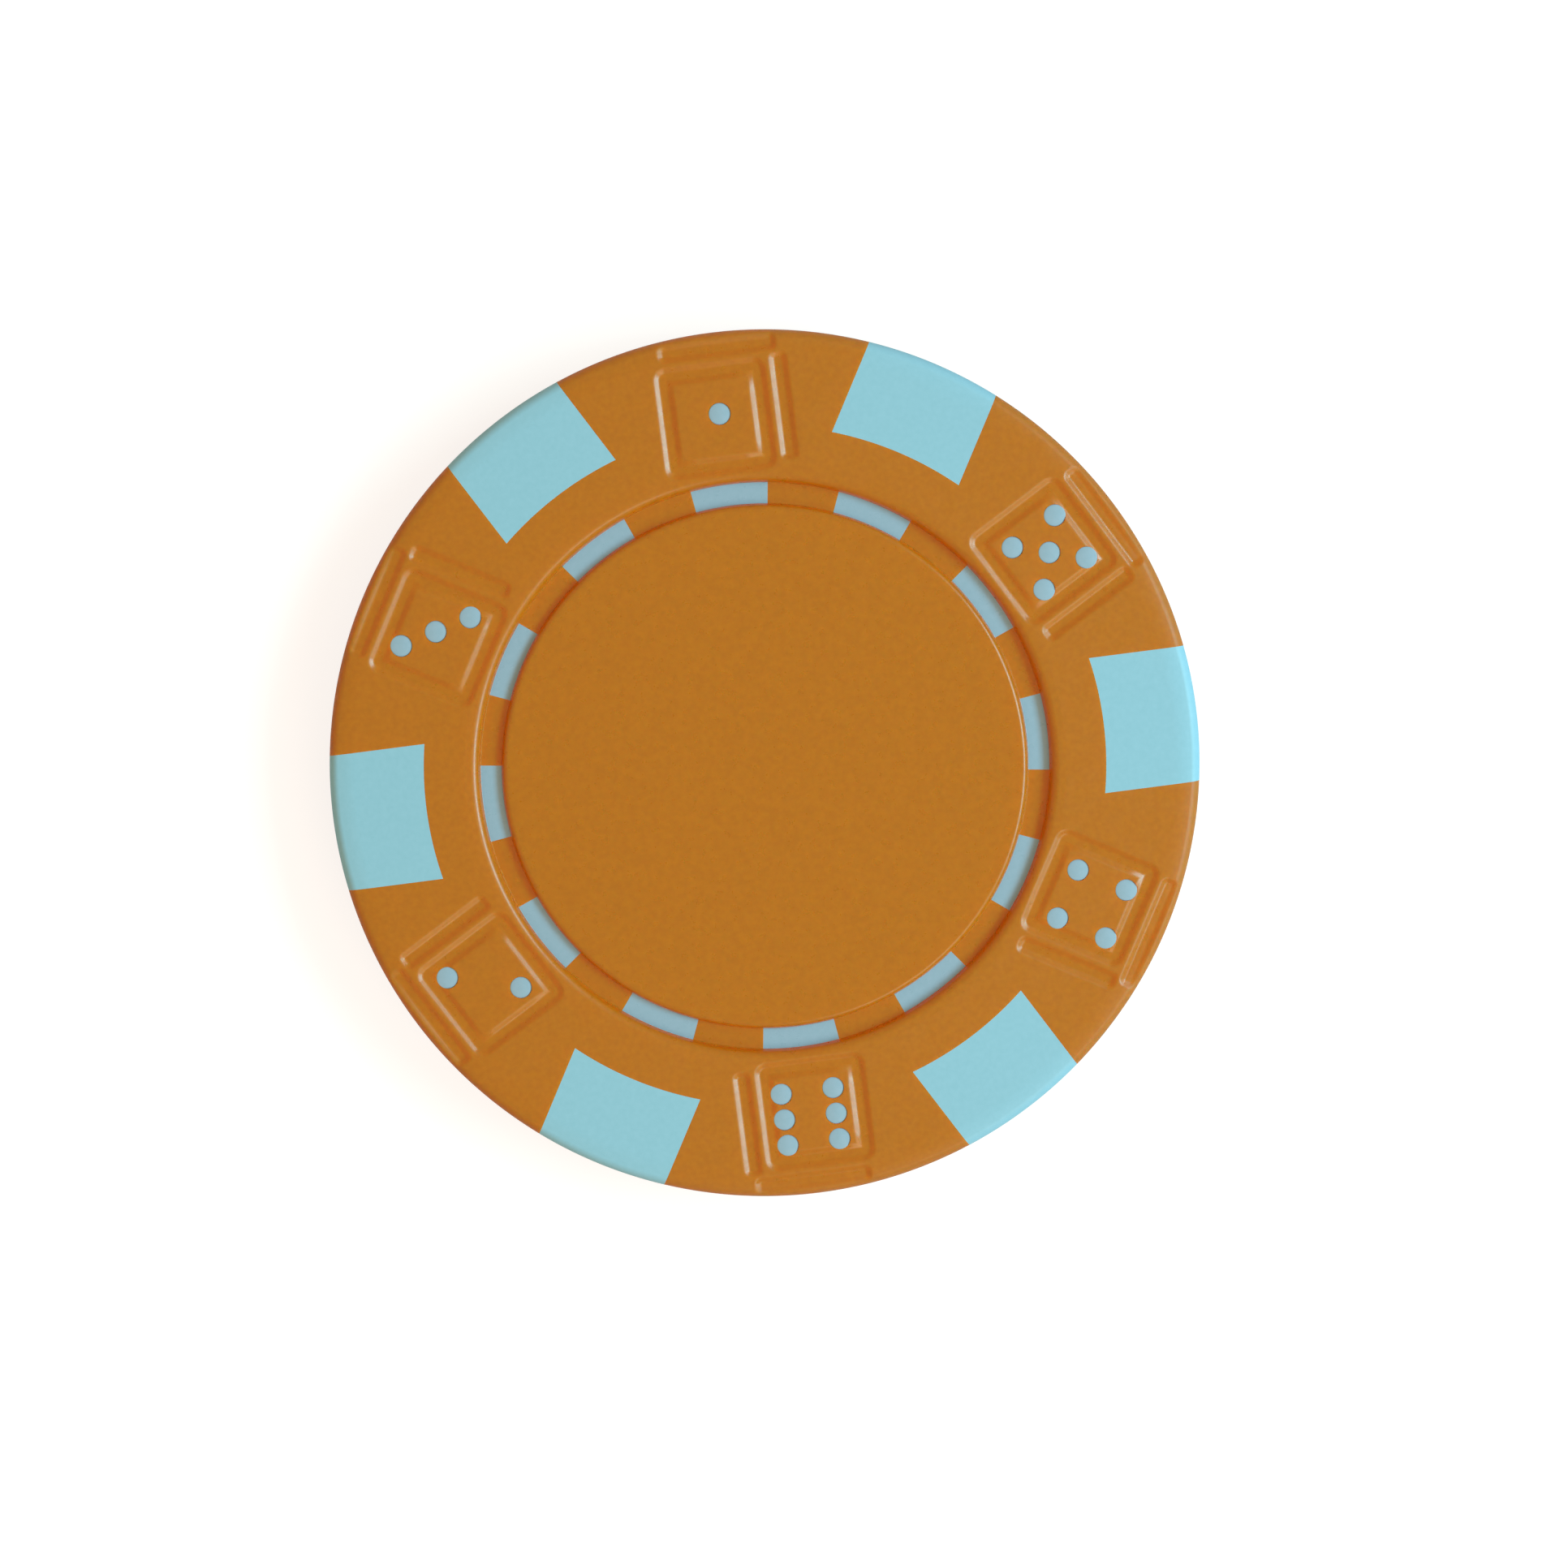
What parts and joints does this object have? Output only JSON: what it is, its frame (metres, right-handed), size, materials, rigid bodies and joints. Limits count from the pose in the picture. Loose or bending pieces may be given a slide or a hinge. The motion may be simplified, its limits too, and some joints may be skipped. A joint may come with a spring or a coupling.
{
  "type": "poker chip",
  "caption": "Round two-colour moulded poker chip with dice in relief round the rim, pale edge spots, a dashed ring groove and a plain recessed centre on both faces.",
  "frame": {"origin": "centre of the chip's back face, the face that it lies on", "axes": "+Z is the chip's axis, out of the front face; +X runs through the middle of the first edge spot"},
  "size_m": [0.039, 0.039, 0.0033],
  "materials": {
    "body_plastic": "satin moulded composite, orange",
    "spot_plastic": "satin moulded composite, pale blue",
    "slug_steel": "bright stamped steel"
  },
  "bodies": {
    "root": {"steel_slug": "slug_steel", "pip_carrier": "spot_plastic", "edge_spot_1": "spot_plastic", "edge_spot_2": "spot_plastic", "edge_spot_3": "spot_plastic", "edge_spot_4": "spot_plastic", "edge_spot_5": "spot_plastic", "edge_spot_6": "spot_plastic", "chip_body": "body_plastic"}
  },
  "joints": []
}
